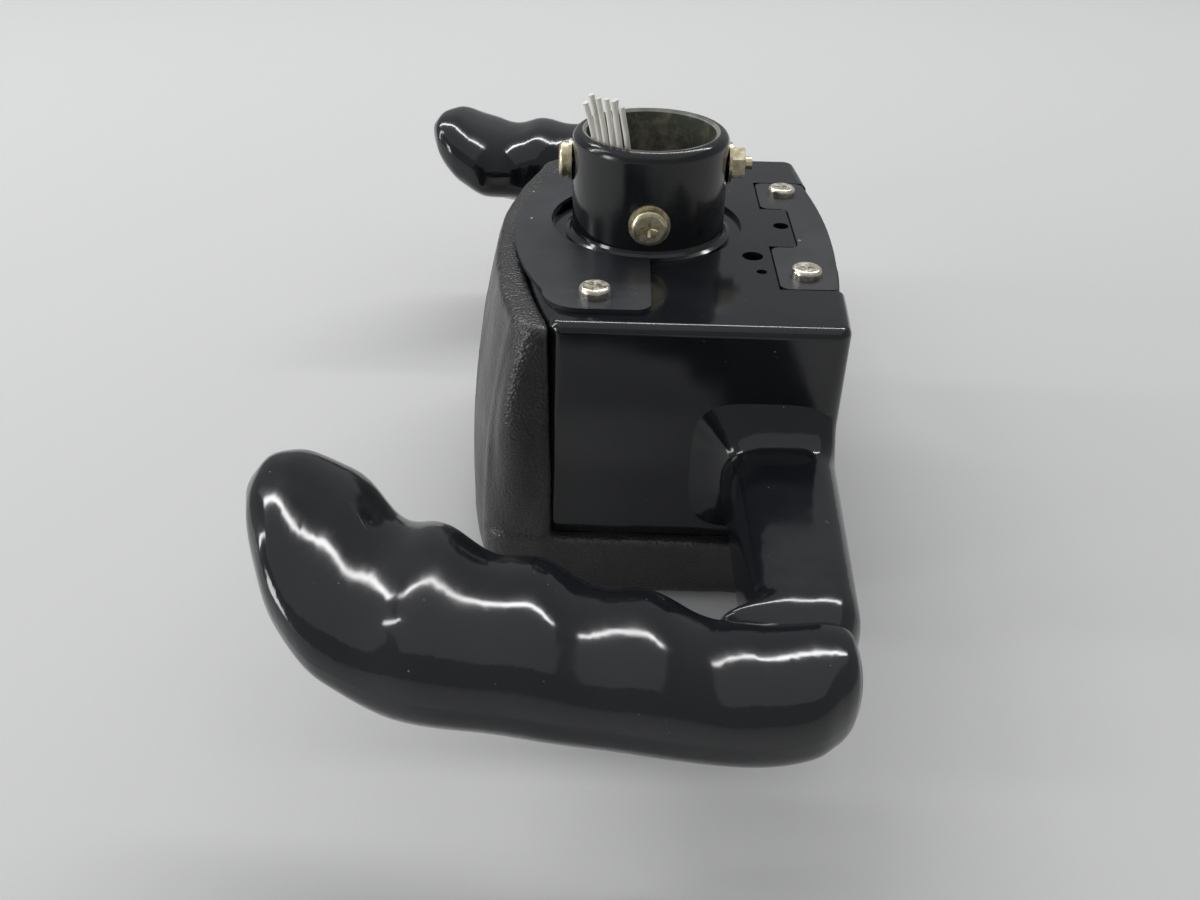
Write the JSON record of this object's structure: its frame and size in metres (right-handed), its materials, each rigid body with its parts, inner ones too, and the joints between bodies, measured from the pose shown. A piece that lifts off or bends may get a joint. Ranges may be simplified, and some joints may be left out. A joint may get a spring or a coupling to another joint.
{
  "type": "aircraft control wheel",
  "caption": "Ram's horn aircraft control wheel: box hub with column collar and wires, padded pilot side, finger-grooved horns, thumb button and trim rocker.",
  "frame": {"origin": "on the column collar's axis, on the hub face that the collar stands on", "axes": "+Z out of the collar towards the instrument panel, -X up in the aircraft, +Y towards the pilot's left horn"},
  "size_m": [0.1303, 0.3096, 0.1232],
  "materials": {
    "moulding_gloss_black": "glossy black moulding, lightly scratched",
    "collar_black": "black coated steel tube, bare inside",
    "plate_satin_black": "satin black painted sheet with small chips",
    "pad_black_vinyl": "black grained vinyl skin over foam",
    "backing_steel": "plain steel plate",
    "cadmium_gold": "pale yellow passivated hardware",
    "nickel_bright": "bright plated screws",
    "zinc_steel": "zinc plated inner hardware",
    "wire_white": "white wire insulation",
    "grommet_rubber": "black rubber",
    "switch_black": "moulded switch plastic",
    "button_red": "red moulded button",
    "bushing_metal": "turned and plated bushing"
  },
  "bodies": {
    "root": {"wheel_moulding": "moulding_gloss_black", "column_collar": "collar_black", "flange_screws": "zinc_steel", "upper_cross_bolt": "cadmium_gold", "upper_cross_washers": "cadmium_gold", "upper_cross_nut": "cadmium_gold", "lower_cross_bolt": "cadmium_gold", "lower_cross_washers": "cadmium_gold", "lower_cross_nut": "cadmium_gold", "upper_cover_plate": "plate_satin_black", "upper_cover_screws": "nickel_bright", "lower_cover_plate": "plate_satin_black", "lower_cover_screws": "nickel_bright", "front_pad": "pad_black_vinyl", "pad_backing_plate": "backing_steel", "stud_nuts": "zinc_steel", "wire_grommet": "grommet_rubber", "ptt_bushing": "bushing_metal", "ptt_spring": "zinc_steel", "ptt_switch": "switch_black", "trim_frame": "switch_black", "trim_switch_body": "switch_black", "trim_pin": "zinc_steel", "wire_1": "wire_white", "wire_2": "wire_white", "wire_3": "wire_white", "wire_4": "wire_white", "wire_5": "wire_white", "wire_6": "wire_white", "wire_7": "wire_white", "wire_8": "wire_white"},
    "ptt_plunger": {"ptt_button": "button_red"},
    "trim_paddle": {"trim_rocker": "switch_black"}
  },
  "joints": [
    {"name": "ptt_press", "type": "slide", "parent": "root", "child": "ptt_plunger", "axis": [0.3791, 0, 0.9254], "range_m": [0, 0.0015], "stiffness_N_per_m": 500, "springref_m": -0.003, "deforming": ["ptt_spring"]},
    {"name": "trim_rock", "type": "hinge", "parent": "root", "child": "trim_paddle", "pos_m": [-0.03173, 0.1345, -0.03862], "axis": [0, 1, 0], "range_deg": [-8, 8], "stiffness_Nm_per_rad": 0.05}
  ]
}
